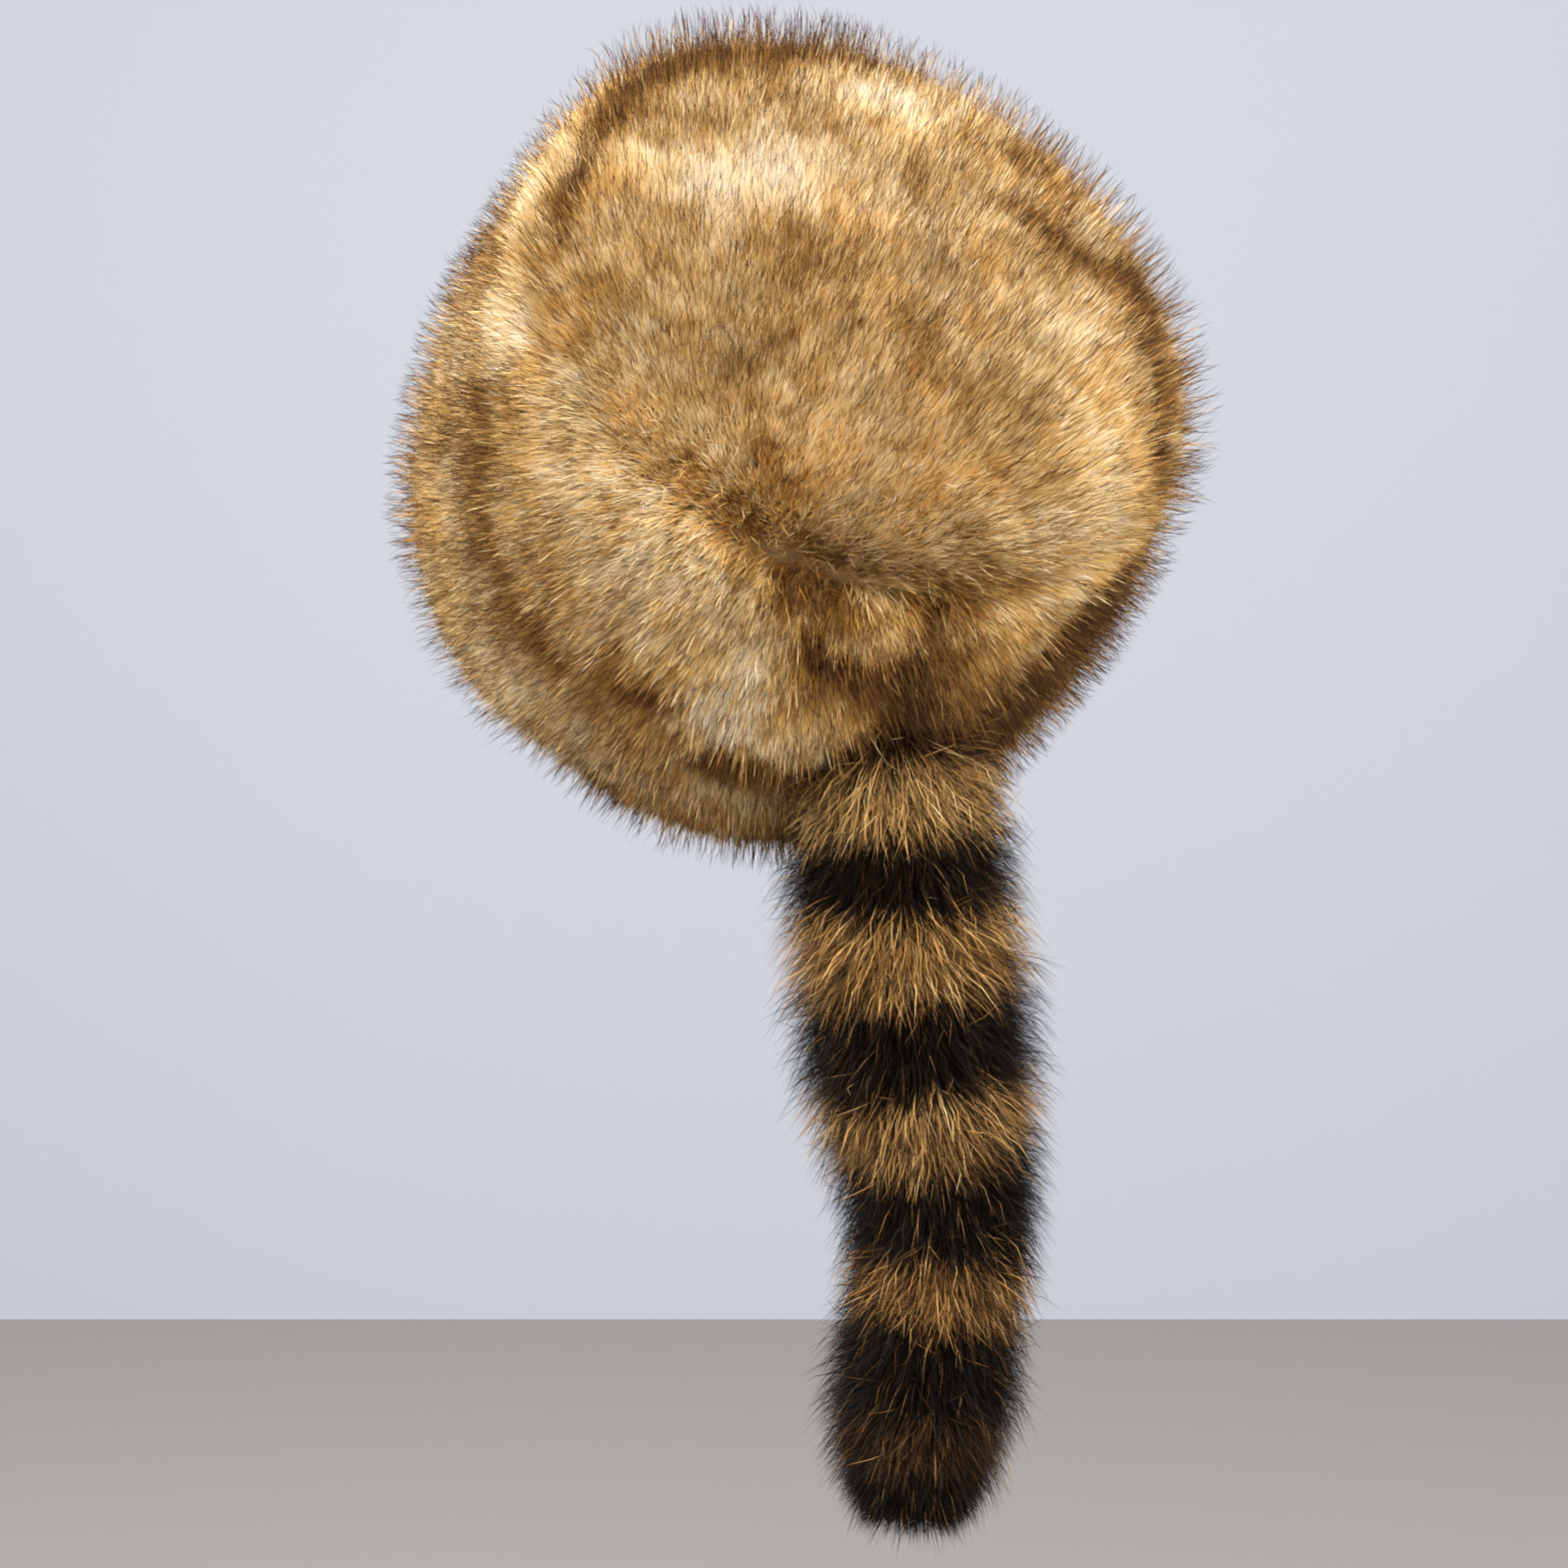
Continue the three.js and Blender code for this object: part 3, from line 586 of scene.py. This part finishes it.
# %% Patches of colour
PATCHES = [
    # dark brown along the top edge and the right-hand edge of the crown
    {
        "line": [(-62, 94, 178), (-34, 105, 178), (-6, 111, 178), (24, 104, 180)],
        "near": 13, "light": -0.7, "kind": DARK_TIPPED, "share": 0.6,
    },
    {"line": [(74, 64, 181), (82, 54, 182)], "near": 11, "light": -0.24, "kind": DARK_TIPPED, "share": 0.4},
    {
        "line": [(64, 14, 191), (84, 4, 188), (104, -4, 181)],
        "near": 10, "light": -0.32, "kind": DARK_TIPPED, "share": 0.5,
    },
    {
        "line": [(108, 12, 174), (107, -20, 174), (104, -46, 172), (101, -75, 158)],
        "near": 11, "light": -0.36, "kind": DARK_TIPPED, "share": 0.6,
    },
    # pale and golden places on the crown; the first, cream high on the top, is partly a painted highlight
    # where the top faces the main light
    {"line": [(-56, 34, 190), (-34, 36, 192)], "near": 18, "light": 0.36, "kind": GOLDEN, "share": 0.0},
    {"line": [(-68, 12, 190)], "near": 15, "light": 0.1, "kind": GOLDEN, "share": 0.0},
    {"line": [(6, 82, 188), (30, 76, 188)], "near": 17, "light": 0.16, "kind": GOLDEN, "share": 0.0},
    {"line": [(-66, 66, 183)], "near": 14, "light": -0.16, "kind": ORANGE, "share": 0.3},
    {"line": [(-111, -12, 177)], "near": 13, "light": -0.08, "kind": ORANGE, "share": 0.6},
    {"line": [(-42, 6, 194), (-36, -30, 194)], "near": 15, "light": -0.14, "kind": ORANGE, "share": 0.4},
    {"line": [(-8, 0, 195), (-2, -40, 194)], "near": 12, "light": -0.08, "kind": ORANGE, "share": 0.3},
    {"line": [(0, -70, 190)], "near": 22, "light": -0.06, "kind": ORANGE, "share": 0.2},
    # the seam from the top left down to the gather: orange hair, and painted shade darkening the seam's
    # valley
    {
        "line": [(-80, 80, 177), (-93, 66, 178), (-105, 50, 176), (-115, 30, 173)],
        "near": 8, "light": -0.56, "kind": DARK_TIPPED, "share": 0.6,
    },
    {"line": [(-118, 16, 172), (-120, -8, 172)], "near": 9, "light": -0.16, "kind": ORANGE, "share": 0.5},
    {"line": [(-114, -40, 171)], "near": 9, "light": -0.3, "kind": ORANGE, "share": 0.4},
    {
        "line": [(-112, -54, 163), (-98, -75, 165), (-84, -91, 162)],
        "near": 11, "light": -0.15, "kind": ORANGE, "share": 0.9,
    },
    {"line": [(-78, -91, 172)], "near": 9, "light": -0.14, "kind": GREY, "share": 0.6},
    {
        "line": [(-75, -100, 157), (-62, -110, 152), (-53, -118, 147)],
        "near": 8, "light": -0.3, "kind": DARK_TIPPED, "share": 0.5,
    },
    # the gather and the folds round it: orange and grey hair, darkened by painted shade in the hollows, most
    # of all along the deep fold
    {"line": [(-48, -117, 154), (-42, -121, 148)], "near": 10, "light": -0.5, "kind": GREY, "share": 0.7},
    {
        "line": [(-54, -118, 143), (-45, -126, 126), (-33, -132, 112)],
        "near": 11, "light": -0.66, "kind": ORANGE, "share": 0.8,
    },
    {
        "line": [(-39, -126, 140), (-30, -129, 138)],
        "near": 7, "light": -0.5, "kind": DARK_TIPPED, "share": 0.5,
    },
    {"line": [(-30, -132, 106), (-8, -136, 102)], "near": 13, "light": -0.5, "kind": ORANGE, "share": 0.7},
    {
        "line": [(-4, -127, 152), (1, -131, 137), (3, -134, 125), (1, -136, 107), (1, -136, 88)],
        "near": 9, "light": -0.95, "kind": DARK_TIPPED, "share": 0.5,
    },
    {"line": [(17, -132, 118), (22, -132, 104)], "near": 11, "light": -0.16, "kind": ORANGE, "share": 0.4},
    {
        "line": [(-8, -126, 153), (18, -124, 156), (36, -121, 158)],
        "near": 8, "light": -0.18, "kind": ORANGE, "share": 0.6,
    },
    {"line": [(25, -119, 168)], "near": 12, "light": 0.08, "kind": GOLDEN, "share": 0.0},
    # the dark right-hand side of the band, next to the tail
    {
        "line": [(84, -104, 122), (74, -112, 108), (60, -121, 88), (40, -130, 76), (14, -135, 80)],
        "near": 12, "light": -0.74, "kind": DARK_TIPPED, "share": 0.7,
    },
    {
        "line": [(96, -96, 116), (88, -100, 84), (68, -112, 58), (36, -130, 58)],
        "near": 18, "light": -0.5, "kind": DARK_TIPPED, "share": 0.7,
    },
    {"line": [(38, -127, 124), (26, -131, 104)], "near": 14, "light": -0.1, "kind": ORANGE, "share": 0.4},
    {
        "line": [(2, -135, 72), (-10, -134, 60)],
        "near": 11, "light": -0.5, "kind": DARK_TIPPED, "share": 0.6,
    },
    # cream and brown streaks on the left of the band
    {"line": [(-132, 18, 132), (-132, 0, 136)], "near": 16, "light": 0.32, "kind": GOLDEN, "share": 0.0},
    {"line": [(-132, -10, 126)], "near": 8, "light": -0.3, "kind": DARK_TIPPED, "share": 0.3},
    {
        "line": [(-135, -4, 106), (-135, -14, 86), (-132, -28, 67)],
        "near": 13, "light": -0.42, "kind": ORANGE, "share": 0.4,
    },
    {"line": [(-128, -38, 132), (-118, -56, 128)], "near": 14, "light": 0.1, "kind": GOLDEN, "share": 0.0},
    {"line": [(-127, -51, 88), (-118, -66, 90)], "near": 9, "light": -0.24, "kind": ORANGE, "share": 0.5},
    {"line": [(-124, -50, 62), (-110, -70, 56)], "near": 12, "light": -0.36, "kind": ORANGE, "share": 0.5},
    {"line": [(-110, -79, 82), (-98, -92, 78)], "near": 8, "light": -0.22, "kind": ORANGE, "share": 0.4},
    {"line": [(-104, -86, 118), (-90, -99, 116)], "near": 15, "light": 0.2, "kind": GOLDEN, "share": 0.0},
    {"line": [(-78, -111, 108)], "near": 14, "light": 0.03, "kind": GREY, "share": 0.6},
    {"line": [(-94, -98, 62), (-80, -106, 64)], "near": 13, "light": -0.45, "kind": ORANGE, "share": 0.6},
    {"line": [(-58, -122, 90), (-60, -120, 74)], "near": 14, "light": 0.26, "kind": GOLDEN, "share": 0.0},
    {
        "line": [(-54, -121, 52), (-34, -128, 50), (-14, -133, 57)],
        "near": 9, "light": -0.55, "kind": DARK_TIPPED, "share": 0.4,
    },
    {"line": [(-65, -108, 12)], "near": 22, "light": -0.16, "kind": DARK_TIPPED, "share": 0.3},
    # the far sides, which the photo doesn't show
    {"line": [(122, 0, 120), (118, 30, 70)], "near": 26, "light": -0.18, "kind": DARK_TIPPED, "share": 0.3},
    {"line": [(60, 118, 110), (30, 126, 80)], "near": 24, "light": -0.2, "kind": DARK_TIPPED, "share": 0.3},
    {
        "line": [(-60, 120, 70), (-90, 94, 90)],
        "near": 24, "light": -0.16, "kind": DARK_TIPPED, "share": 0.3,
    },
]

# %% Noise in the colours
# how light the hair is where no patch lies, from 0 for dark to 1 for cream
BASE_SHADE = 0.7
# soft spots, their sizes in millimetres
MOTTLE = [
    {"size": 40, "strength": 0.15, "offset": 11.0},
    {"size": 12, "strength": 0.11, "offset": 23.0},
    {"size": 5, "strength": 0.13, "offset": 31.0},
]
# streaks along the lie: their length in millimetres, and their width at FAN_RADIUS from the fan's start
STREAK = {"across": 4.0, "along": 26.0, "strength": 0.22, "offset": 61.0}
FAN_RADIUS = 90 * MM
# how far noise shifts the edges of the patches, its size, and an offset each for x, y and z
WARP = 9 * MM
WARP_SIZE = 16 * MM
WARP_OFFSETS = (41.0, 47.0, 53.0)
# hair is orange where noise of this size is above one limit, and grey-brown where it is below the other
HUE_SIZE = 24 * MM
HUE_OFFSET = 71.0
HUE_SCATTER = 0.3
WARM_ABOVE = 0.3
GREY_BELOW = -0.36


def streaks(surface, start):
    """Noise drawn out along the fur: narrow across the fan of hair, long away from the fan's start."""
    from_start = surface - start
    distance = np.linalg.norm(from_start, axis=1, keepdims=True)
    spot = unit(from_start) * FAN_RADIUS / STREAK["across"] + distance / STREAK["along"]
    return slow_noise(spot, MM, STREAK["offset"])


def pelt_colours(name, surface, rng):
    """The shade and the kind of hair at each place on the cap's fur."""
    shade = BASE_SHADE + STREAK["strength"] * streaks(surface, FAN_START[name])
    for spots in MOTTLE:
        shade += spots["strength"] * slow_noise(surface, spots["size"] * MM, spots["offset"])
    warp = np.stack([slow_noise(surface, WARP_SIZE, offset) for offset in WARP_OFFSETS], axis=1)
    warped = surface + WARP * warp
    warmth = slow_noise(surface, HUE_SIZE, HUE_OFFSET) + rng.normal(0, HUE_SCATTER, len(surface))
    kind = np.where(warmth > WARM_ABOVE, ORANGE, np.where(warmth < GREY_BELOW, GREY, GOLDEN))
    for patch in PATCHES:
        gap = distance_to_line(warped, patch["line"])
        near = np.exp(-(gap / (patch["near"] * MM)) ** 2)
        shade += patch["light"] * near
        kind[rng.random(len(surface)) < near * patch["share"]] = patch["kind"]
    return shade, kind


# %% [markdown]
# Two coats cover the pelt. The underfur is dense, fine and pale, one thin spike to a hair, and it fills the
# form. The guard hairs are longer and fewer, with dark tips that stand a few millimetres proud: face on they
# are short dark dashes, and at the edge they make the dark broken outline. Real hair is about a tenth of a
# millimetre thick or less, so the strands are drawn wider at the root and run out to nothing.

# %% Two coats of fur
COATS = {
    # strands in a tuft, then its radius and a strand's rise, run and root width in millimetres, the share
    # that the tips gather, the spread of lengths, how much darker the coat is, and the spread of shades
    "underfur": {
        "per_tuft": 9, "tuft": 2.5, "rise": 23.5, "run": 7, "width": 0.7, "gather": 0.72, "uneven": 0.05,
        "darker": 0.0, "scatter": 0.07, "tuft_scatter": 0.08,
    },
    "guard": {
        "per_tuft": 3, "tuft": 2.0, "rise": 28, "run": 9, "width": 0.3, "gather": 0.5, "uneven": 0.09,
        "darker": 0.3, "scatter": 0.14, "tuft_scatter": 0.12,
    },
}
# how far out and along the lie a tuft shows, in millimetres, which is where its hollow and colour are read
SURFACE = {"out": 22, "along": 7}
# the share of the full depth that each pelt's fur has
PELT_DEPTH = {"crown": 1.0, "band": 0.9}
# the share of tufts that have guard hair, and how much it grows where the fur is dark
GUARD_SHARE = 0.6
GUARD_IN_DARK = 0.8
# near the rim strands are shorter and start at the skin; further up this share of each is hidden and left out
RIM_ZONE = 24 * MM
AT_RIM = {"rise": 0.8, "run": 0.5}
HIDDEN_SHARE = 0.35
# guard hairs that stand out further than the others
STRAY_SHARE = 0.2
STRAY_REACH = 1.42
STRAY_LEAST = 0.9
# how much strands turn from the lie and about their own length, and the limits of their sizes and shades
TANGLE = {"plain": 0.42, "in_hollow": 0.8}
TWIST = 0.4
TUFT_SPREAD = 0.6
LENGTH_LIMITS = (0.7, 1.2)
WIDTH_LIMITS = (0.75, 1.2)
SHADE_LIMITS = (0.01, 0.99)


def grow_tufts(pelt_name, coat_name, tufts, side, rng):
    """Where the tufts of a coat stand, which way they face and lie, and their height, shade and kind."""
    place, facing = scatter_roots(pelt_name, tufts, rng)
    if side:
        chosen = place[:, 0] * side >= 0
        place, facing = place[chosen], facing[chosen]
    combed = lie_of_fur(pelt_name, place, facing)
    surface = place + (facing * SURFACE["out"] + combed * SURFACE["along"]) * MM
    height = fur_height(surface)
    shade, kind = pelt_colours(pelt_name, surface, rng)
    found = (place, facing, combed, height, shade, kind)
    if coat_name == "guard":
        crowd = GUARD_SHARE + GUARD_IN_DARK * (BASE_SHADE - shade)
        chosen = rng.random(len(place)) < crowd
        found = tuple(part[chosen] for part in found)
    return found


def coat(piece_name, pelt_name, coat_name, shape, tufts, seed, side=0):
    """One coat of fur over the pelt as a piece of its own. side is -1 or 1 for one half of it alone."""
    rng = np.random.default_rng(seed)
    size = COATS[coat_name]
    place, facing, combed, height, shade, kind = grow_tufts(pelt_name, coat_name, tufts, side, rng)
    shade = shade + rng.normal(0, size["tuft_scatter"], len(place))
    near_rim = np.clip(place[:, 2] / RIM_ZONE, 0, 1)
    tuft_count = len(place)
    grow = np.repeat(np.arange(tuft_count), size["per_tuft"])
    place, facing, combed, height, shade, kind, near_rim = (
        part[grow] for part in (place, facing, combed, height, shade, kind, near_rim)
    )
    count = len(grow)
    tangle = TANGLE["plain"] + TANGLE["in_hollow"] * (1 - height)
    jitter = rng.normal(0, 1, (count, 3)) * tangle[:, None]
    directions = unit(flat_on(combed + jitter, facing))
    spread = flat_on(rng.normal(0, size["tuft"] * MM * TUFT_SPREAD, (count, 3)), facing)
    uneven = size["uneven"]
    length = rng.normal(1, uneven, tuft_count)[grow] * rng.normal(1, uneven, count)
    length = length.clip(*LENGTH_LIMITS)
    if coat_name == "guard":
        stray = rng.random(count) < STRAY_SHARE
        length = np.where(stray, STRAY_REACH * rng.uniform(STRAY_LEAST, 1, count), length)
        kind = np.full(count, DARK_TIPPED)
    rise_by_rim = AT_RIM["rise"] + (1 - AT_RIM["rise"]) * near_rim
    run_by_rim = AT_RIM["run"] + (1 - AT_RIM["run"]) * near_rim
    look = {
        "start": HIDDEN_SHARE * near_rim,
        "rise": size["rise"] * MM * PELT_DEPTH[pelt_name] * length * height * rise_by_rim,
        "run": size["run"] * MM * length * run_by_rim,
        "gather": np.full(count, size["gather"]),
        "twist": rng.normal(0, TWIST, count),
        "phase": rng.uniform(0, 2 * math.pi, count),
        "width": size["width"] * MM * rng.uniform(*WIDTH_LIMITS, count),
        "shade": np.clip(shade - size["darker"] + rng.normal(0, size["scatter"], count), *SHADE_LIMITS),
        "kind": kind,
    }
    in_row = [from_cap(part) for part in (place, facing, directions, spread)]
    mesh = strand_mesh(piece_name, shape, *in_row, look)
    return finish_piece(piece_name, mesh, cap_fur, [f"{pelt_name}_fur"])


# %% Grow the coats
coat("crown_underfur", "crown", "underfur", SPIKE, tufts=21500, seed=11)
coat("crown_guard_hair", "crown", "guard", BENT_BLADE, tufts=9500, seed=12)
coat("band_underfur_left", "band", "underfur", SPIKE, tufts=38000, seed=13, side=-1)
coat("band_underfur_right", "band", "underfur", SPIKE, tufts=38000, seed=14, side=1)
coat("band_guard_hair", "band", "guard", BENT_BLADE, tufts=22500, seed=15)

# %% [markdown]
# The tail is one thick brush that hangs from the back of the band. Its strands root on a slim core along the
# brush's middle line, stand out and sweep down, and shorten to a tuft at the tip.

# %% The tail's course
TAIL_COURSE = [
    # height, place across, and the radius of the dense fur, in millimetres in the row frame
    {"up": -44, "across": 11, "girth": 27},
    {"up": -66, "across": 13, "girth": 31},
    {"up": -105, "across": 15, "girth": 35},
    {"up": -140, "across": 19, "girth": 37},
    {"up": -176, "across": 24, "girth": 36},
    {"up": -212, "across": 31, "girth": 31},
    {"up": -236, "across": 31, "girth": 29},
    {"up": -262, "across": 27, "girth": 28},
    {"up": -291, "across": 23, "girth": 29},
    {"up": -316, "across": 20, "girth": 25},
    {"up": -333, "across": 20, "girth": 15},
    {"up": -346, "across": 20, "girth": 4},
]
course_levels = np.array([-row["up"] * MM for row in TAIL_COURSE])
tail_points = np.array([v.co for v in bpy.data.objects["tail"].data.vertices])
TAIL_DEPTH = np.median(tail_points[:, 1])
tail_top, tail_tip = tail_points[:, 2].max(), tail_points[:, 2].min()
print("the packed tail reaches from", round(float(tail_top), 4), "down to", round(float(tail_tip), 4))


def on_course(level, column):
    """A column of the tail's course at each height, in metres."""
    return np.interp(-level, course_levels, [row[column] * MM for row in TAIL_COURSE])


def tail_middle(level):
    """The tail's middle at each height."""
    return np.stack([on_course(level, "across"), np.full(len(level), TAIL_DEPTH), level], axis=1)


# %% [markdown]
# The tail's rings belong to the hairs: each hair has the colour of the ring that its tip lies in, and hairs
# of one ring overlap the next, so the edges are ragged. Black rings are wide, and some hairs of the tan ones
# between them are tinted orange or grey or have a dark tip. The tan rings grow darker down the tail, partly
# their own colour and partly painted shade where less light falls.

# %% Rings and their colours
RINGS = [
    # the height that a ring reaches down to, mean shade, scatter of the shade, kind of hair
    # the tan rings' mean shades fall down the tail: partly their own colour, partly painted shade lower down
    {"down_to": -66, "shade": 0.12, "scatter": 0.10, "kind": GOLDEN},
    {"down_to": -88, "shade": 0.50, "scatter": 0.26, "kind": GREY},
    {"down_to": -116, "shade": 0.04, "scatter": 0.06, "kind": GOLDEN},
    {"down_to": -146, "shade": 0.42, "scatter": 0.24, "kind": ORANGE},
    {"down_to": -181, "shade": 0.04, "scatter": 0.05, "kind": GOLDEN},
    {"down_to": -204, "shade": 0.38, "scatter": 0.24, "kind": GOLDEN},
    {"down_to": -244, "shade": 0.02, "scatter": 0.03, "kind": GOLDEN},
    {"down_to": -264, "shade": 0.33, "scatter": 0.20, "kind": ORANGE},
    {"down_to": -297, "shade": 0.02, "scatter": 0.04, "kind": GOLDEN},
    {"down_to": -316, "shade": 0.13, "scatter": 0.12, "kind": GOLDEN},
    {"down_to": -400, "shade": 0.03, "scatter": 0.05, "kind": GOLDEN},
]
TAIL_SHADES = [
    (0.0, "#050302"), (0.14, "#180e07"), (0.3, "#53361e"),
    (0.5, "#a57e4a"), (0.7, "#d2a96a"), (1.0, "#f2d6a0"),
]
# how ragged a ring's edge is: the spread between hairs, and a slow wave and its size
RING_EDGE = {"scatter": 3.0 * MM, "wave": 8 * MM, "wave_size": 15 * MM, "offset": 3.0}
# the share of hairs that take their ring's kind, and of the light ones that have a dark tip
RING_KIND_SHARE = 0.2
DARK_TIP_SHARE = 0.15
LIGHT_HAIR = 0.3
# a few hairs anywhere have another shade than their ring
OFF_COLOUR = 0.06
OFF_SHADES = (0.05, 0.5)
tail_fur = fur_material(
    "ringed tail hair", TAIL_SHADES, root_wool_and_shade="#1c120a", tip_colour="#0c0704", rough=0.45,
)


def ring_colours(tips, roots, rng):
    """The shade and the kind of hair of each tail strand, from the height of its tip."""
    count = len(tips)
    wave = RING_EDGE["wave"] * slow_noise(roots, RING_EDGE["wave_size"], RING_EDGE["offset"])
    ragged = tips + rng.normal(0, RING_EDGE["scatter"], count) + wave
    edges_down = np.array([-ring["down_to"] * MM for ring in RINGS])
    ring = np.clip(np.searchsorted(edges_down, -ragged), 0, len(RINGS) - 1)
    shade = np.array([r["shade"] for r in RINGS])[ring]
    shade = shade + rng.normal(0, 1, count) * np.array([r["scatter"] for r in RINGS])[ring]
    kind = np.where(rng.random(count) < RING_KIND_SHARE, np.array([r["kind"] for r in RINGS])[ring], GOLDEN)
    kind = np.where((shade > LIGHT_HAIR) & (rng.random(count) < DARK_TIP_SHARE), DARK_TIPPED, kind)
    shade = np.where(rng.random(count) < OFF_COLOUR, rng.uniform(*OFF_SHADES, count), shade)
    return shade, kind


# %% The tail's brush
# the core's share of the fur's radius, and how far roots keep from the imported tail's two ends
TAIL_CORE_SHARE = 0.36
ROOTS_BELOW_TOP = 4 * MM
ROOTS_ABOVE_TIP = 37 * MM
# half the stretch over which the tail's direction is measured
SLOPE_REACH = 10 * MM
# how far strands sweep down, how uneven their sweep and length are, and the share left out inside the brush
TAIL_SWEEP = 18 * MM
SWEEP_UNEVEN = 0.1
TAIL_UNEVEN = 0.12
TAIL_HIDDEN_SHARE = 0.15
# how much they turn from the tail's direction and about their own length
TAIL_TANGLE = 0.42
TAIL_TWIST = 0.6
TAIL_WIDTH_LIMITS = (0.75, 1.25)
# strands whose tips come nearer to the cap's axis than this, above the rim, could poke through the hide
HIDE_RADIUS = 113 * MM


def tail_coat(piece_name, shape, count, seed, reach, width):
    """One coat of the tail's brush. reach is how far its tips stand out, as a share of the fur's radius."""
    rng = np.random.default_rng(seed)
    level = rng.uniform(tail_tip + ROOTS_ABOVE_TIP, tail_top - ROOTS_BELOW_TOP, count)
    turn = rng.uniform(0, 2 * math.pi, count)
    tip_level = level - TAIL_SWEEP
    girth = on_course(tip_level, "girth")
    core = TAIL_CORE_SHARE * np.minimum(girth, on_course(level, "girth"))
    out = np.stack([np.cos(turn), np.sin(turn), np.zeros(count)], axis=1)
    middle = tail_middle(level)
    down = unit(tail_middle(level - SLOPE_REACH) - tail_middle(level + SLOPE_REACH))
    facing = unit(flat_on(out, down))
    roots = middle + facing * core[:, None]
    length = rng.normal(1, TAIL_UNEVEN, count)
    sweep = TAIL_SWEEP * length * rng.normal(1, SWEEP_UNEVEN, count)
    shade, kind = ring_colours(level - sweep, roots, rng)
    look = {
        "start": np.full(count, TAIL_HIDDEN_SHARE),
        "rise": (girth * reach - core) * length,
        "run": sweep,
        "gather": np.zeros(count),
        "twist": rng.normal(0, TAIL_TWIST, count),
        "phase": rng.uniform(0, 2 * math.pi, count),
        "width": width * MM * rng.uniform(*TAIL_WIDTH_LIMITS, count),
        "shade": np.clip(shade, *SHADE_LIMITS),
        "kind": kind,
    }
    combed = unit(flat_on(down + rng.normal(0, TAIL_TANGLE, (count, 3)), facing))
    in_cap = to_cap(roots + facing * look["rise"][:, None] + combed * look["run"][:, None])
    outside = (np.hypot(in_cap[:, 0], in_cap[:, 1]) > HIDE_RADIUS) | (in_cap[:, 2] < 0)
    look = {key: values[outside] for key, values in look.items()}
    roots, facing, combed = roots[outside], facing[outside], combed[outside]
    mesh = strand_mesh(piece_name, shape, roots, facing, combed, np.zeros(roots.shape), look)
    return finish_piece(piece_name, mesh, tail_fur, ["tail"])


tail_coat("tail_underfur", SPIKE, count=120000, seed=21, reach=1.0, width=0.65)
tail_coat("tail_guard_hair", BENT_BLADE, count=33000, seed=22, reach=1.22, width=0.3)

# %% [markdown]
# Inside, the cap shows the flesh side of the tanned hide: matt, pale, with a fine grain and a cloudy colour.
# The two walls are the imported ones, so they only get a finish.

# %% Tanned hide
# clouds of colour about 36 mm across, and a suede grain about 1.1 mm across and up to 0.4 mm deep
CLOUDS = {"Scale": 28.0, "Detail": 4.0}
GRAIN = {"Scale": 900.0, "Detail": 3.0}
GRAIN_DEPTH = 0.0004
hide, hide_shader = new_material("tanned hide, flesh side")
spot = add_node(hide, "ShaderNodeTexCoord").outputs["Object"]
cloud = add_node(hide, "ShaderNodeTexNoise", {"Vector": spot, **CLOUDS})
grain = add_node(hide, "ShaderNodeTexNoise", {"Vector": spot, **GRAIN})
tan = ramp(hide, cloud.outputs["Fac"], [(0.3, "#a98658"), (0.55, "#c4a273"), (0.75, "#d6bb92")])
hide.node_tree.links.new(tan.outputs["Color"], hide_shader.inputs["Base Color"])
bump = add_node(
    hide, "ShaderNodeBump", {"Height": grain.outputs["Fac"], "Strength": 0.35, "Distance": GRAIN_DEPTH},
)
hide.node_tree.links.new(bump.outputs["Normal"], hide_shader.inputs["Normal"])
hide_shader.inputs["Roughness"].default_value = 0.85
hide_shader.inputs["Sheen Weight"].default_value = 0.2
for node in hide_nodes:
    walls = bpy.data.objects[node]
    for number in range(max(len(walls.material_slots), 1)):
        if number < len(walls.material_slots):
            walls.material_slots[number].material = hide
        else:
            walls.data.materials.append(hide)

# %% Free the pelt and close
pelt.free()
bpy.context.view_layer.update()
